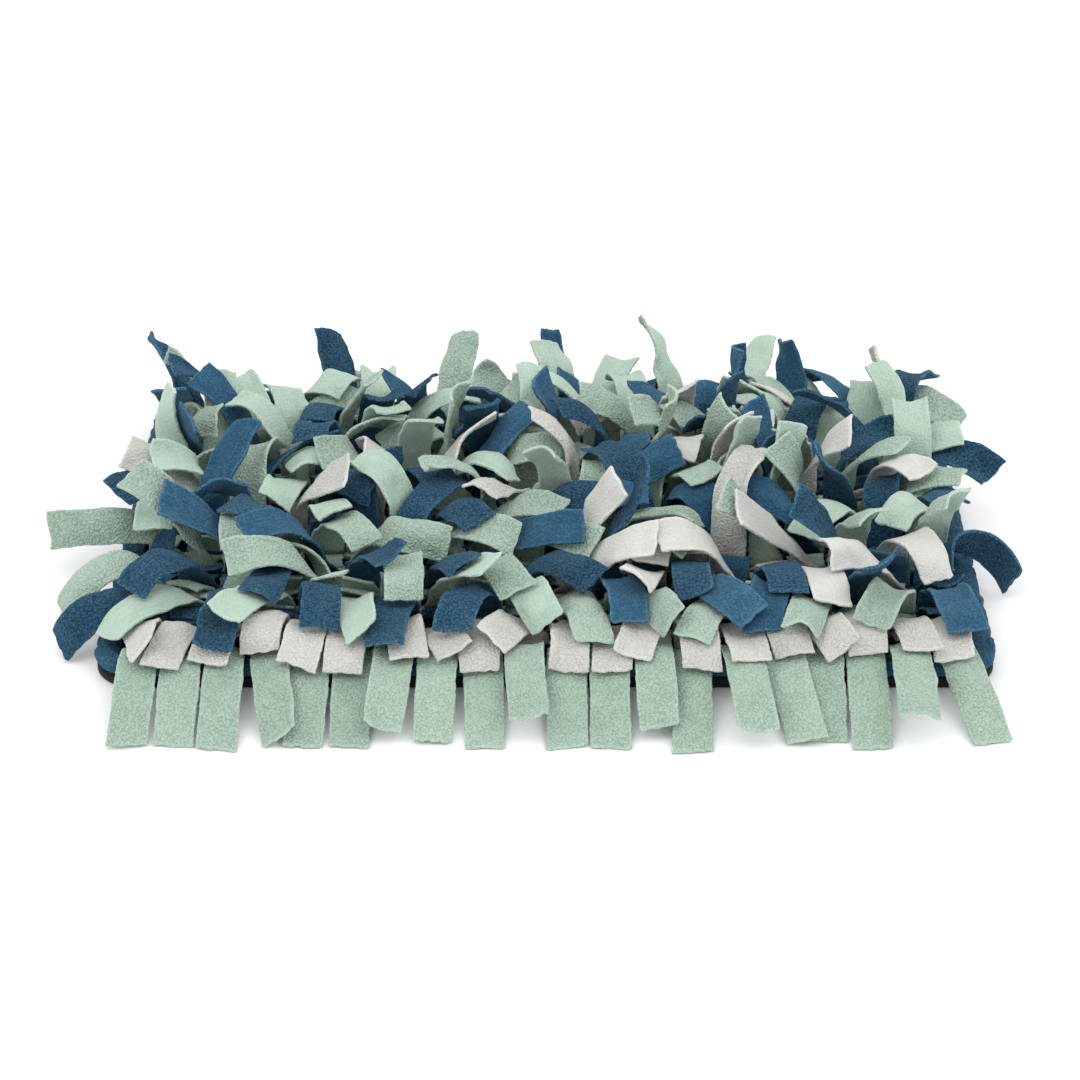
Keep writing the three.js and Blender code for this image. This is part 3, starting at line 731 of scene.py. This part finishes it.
def fleece(name, look):
    """Fleece with small pills on its rough face, knit lines on its smooth one, fuzz, and cut edges paler with
    a painted highlight; painted shade darkens the pill hollows and painted light brightens the pill tops and
    the raised fuzz.
    """
    material, tree, shader = new_material(name, FLEECE_FINISH)
    where = place_of(tree)
    keys = ("pile", "rim", "tint", "across", "along")
    pile, rim, tint, across, along = (point_value(tree, key) for key in keys)

    shift = vector_maths(tree, "SUBTRACT", {0: noise(tree, where, WARP, "Color"), 1: (0.5, 0.5, 0.5)})
    small = vector_maths(tree, "SCALE", {0: shift, "Scale": WARP["reach"]})
    bent = vector_maths(tree, "ADD", {0: where, 1: small})
    hollow = remap(tree, cells(tree, bent, PILLS), PILLS["inside"], PILLS["outside"], 0, 1)
    fullness = maths(tree, "ADD", maths(tree, "MULTIPLY", pile, 1 - PILLS["on_smooth"]), PILLS["on_smooth"])
    sunk = maths(tree, "MULTIPLY", fullness, hollow)

    fuzz = noise(tree, where, FUZZ)
    mottle = noise(tree, where, MOTTLE)
    course = maths(tree, "MULTIPLY", along, KNIT["stretch"])
    knit = add_node(tree, "ShaderNodeCombineXYZ", {"X": across, "Y": course, "Z": tint}).outputs[0]
    lines = about(tree, noise(tree, knit, KNIT), 0.5, KNIT["tone"])
    streak = maths(tree, "MULTIPLY", lines, maths(tree, "SUBTRACT", 1, pile))

    # Painted shade and light: darker in the pill hollows, paler on the pill tops.
    painted_pill_shading = about(tree, sunk, PILLS["mean"], PILLS["tone"] * look["lumps"])
    tone = maths(tree, "ADD", streak, maths(tree, "SUBTRACT", 0.5, painted_pill_shading))
    # Fuzz adds fine speckle, paler where its bump rises, so partly painted highlight; mottle and tint are the
    # cloth's own random tone; rim is a painted highlight along the cut edges.
    for value, centre, share in ((fuzz, 0.5, FUZZ["tone"]), (mottle, 0.5, MOTTLE["tone"]),
                                 (tint, 0.5, TINT_TONE), (rim, 0, RIM_PAINTED_HIGHLIGHT)):
        tone = maths(tree, "ADD", tone, about(tree, value, centre, share))
    stops = ((0, look["hollow"]), (0.5, look["body"]), (1, look["pale"]))
    tree.links.new(ramp(tree, tone, stops), shader.inputs["Base Color"])

    raised = maths(tree, "MULTIPLY", fuzz, FUZZ["height"])
    height = maths(tree, "SUBTRACT", raised, maths(tree, "MULTIPLY", sunk, look["lumps"]))
    set_bump(tree, shader, height, FLEECE_FINISH)
    shader.inputs["Sheen Weight"].default_value = look["sheen"]
    shader.inputs["Sheen Roughness"].default_value = SHEEN_ROUGHNESS
    shader.inputs["Sheen Tint"].default_value = (*look["sheen_tint"], 1)
    return material


def backing_cloth():
    """Dark nonslip cloth with a grid of small raised dots."""
    material, tree, shader = new_material("backing_cloth", BACKING_FINISH)
    where = place_of(tree)
    dots = remap(tree, cells(tree, where, DOTS), DOTS["inside"], DOTS["outside"], 1, 0)
    weave = noise(tree, where, WEAVE)
    tone = maths(tree, "ADD", maths(tree, "MULTIPLY", dots, DOTS["tone"]),
                 maths(tree, "MULTIPLY", weave, WEAVE["tone"]))
    stops = ((WEAVE["dark_to"], BACKING["deep"]), (WEAVE["pale_from"], BACKING["raised"]))
    tree.links.new(ramp(tree, tone, stops), shader.inputs["Base Color"])
    set_bump(tree, shader, tone, BACKING_FINISH)
    return material


def sewing_thread():
    """Twisted thread a little paler than the binding."""
    material, tree, shader = new_material("sewing_thread", THREAD_FINISH)
    twist = noise(tree, place_of(tree), TWIST)
    stops = ((TWIST["dark_to"], PETROL["body"]), (TWIST["pale_from"], PETROL["pale"]))
    tree.links.new(ramp(tree, twist, stops), shader.inputs["Base Color"])
    set_bump(tree, shader, twist, THREAD_FINISH)
    return material


def pale_floor():
    """A plain matt white with the faintest haze."""
    material, tree, shader = new_material("pale_floor", FLOOR_FINISH)
    haze = noise(tree, place_of(tree), HAZE)
    tree.links.new(ramp(tree, haze, ((0, HAZE["dark"]), (1, HAZE["pale"]))), shader.inputs["Base Color"])
    return material


# Floor, light and camera


def set_floor():
    """A wide flat floor just under the mat."""
    mesh = bpy.data.meshes.new("floor")
    signs = ((-1, -1), (1, -1), (1, 1), (-1, 1))
    corners = [(x * FLOOR["reach"], y * FLOOR["reach"], -FLOOR["drop"]) for x, y in signs]
    mesh.from_pydata(corners, [], [(0, 1, 2, 3)])
    mesh.materials.append(pale_floor())
    floor = bpy.data.objects.new("floor", mesh)
    bpy.context.scene.collection.objects.link(floor)


def add_light(name, place, size, power):
    """A soft square light aimed at the mat."""
    light = bpy.data.lights.new(name, "AREA")
    light.size = size
    light.energy = power
    lamp = bpy.data.objects.new(name, light)
    lamp.location = place
    lamp.rotation_euler = (-Vector(place)).to_track_quat("-Z", "Y").to_euler()
    bpy.context.scene.collection.objects.link(lamp)


def set_light():
    """A white surround and two soft lights."""
    world = bpy.data.worlds.new("studio")
    world.use_nodes = True
    background = world.node_tree.nodes["Background"]
    background.inputs["Color"].default_value = (1, 1, 1, 1)
    background.inputs["Strength"].default_value = WORLD_STRENGTH
    bpy.context.scene.world = world
    for light in LIGHTS:
        add_light(**light)
    bpy.context.scene.view_settings.view_transform = "Standard"


def set_camera():
    """A camera in front of the mat, looking down at it as the photograph does."""
    camera = bpy.data.cameras.new("photo_camera")
    camera.sensor_width = VIEW["sensor"]
    camera.lens = camera.sensor_width * VIEW["focal_pixels"] / VIEW["frame_pixels"]
    camera.clip_start = VIEW["clip_start"]
    rise = math.radians(VIEW["elevation"])
    back = Vector((0, -math.cos(rise), math.sin(rise)))
    eye = bpy.data.objects.new("photo_camera", camera)
    eye.location = Vector(VIEW["target"]) + back * VIEW["distance"]
    eye.rotation_euler = (-back).to_track_quat("-Z", "Y").to_euler()
    bpy.context.scene.collection.objects.link(eye)
    bpy.context.scene.camera = eye


def lay_mat():
    """The whole mat, from the backing up."""
    rng = np.random.default_rng(SEED)
    looks = {"sage": SAGE, "petrol": PETROL, "ivory": IVORY}
    cloths = {colour: fleece(colour + "_fleece", look) for colour, look in looks.items()}
    lay_backing(backing_cloth())
    lay_binding(cloths["petrol"], rng)
    lay_stitches(sewing_thread())
    bands = {name: read_band(node) for name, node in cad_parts.items() if name.startswith("band_")}
    fill_gaps(list(bands.values()), rng)
    find_room([strip for band in bands.values() for strip in band["strips"]])
    for name, band in bands.items():
        colour = name.rsplit("_", 1)[1]
        lay_band(name, band, cloths[colour], rng)


set_camera()
set_light()
set_floor()
lay_mat()
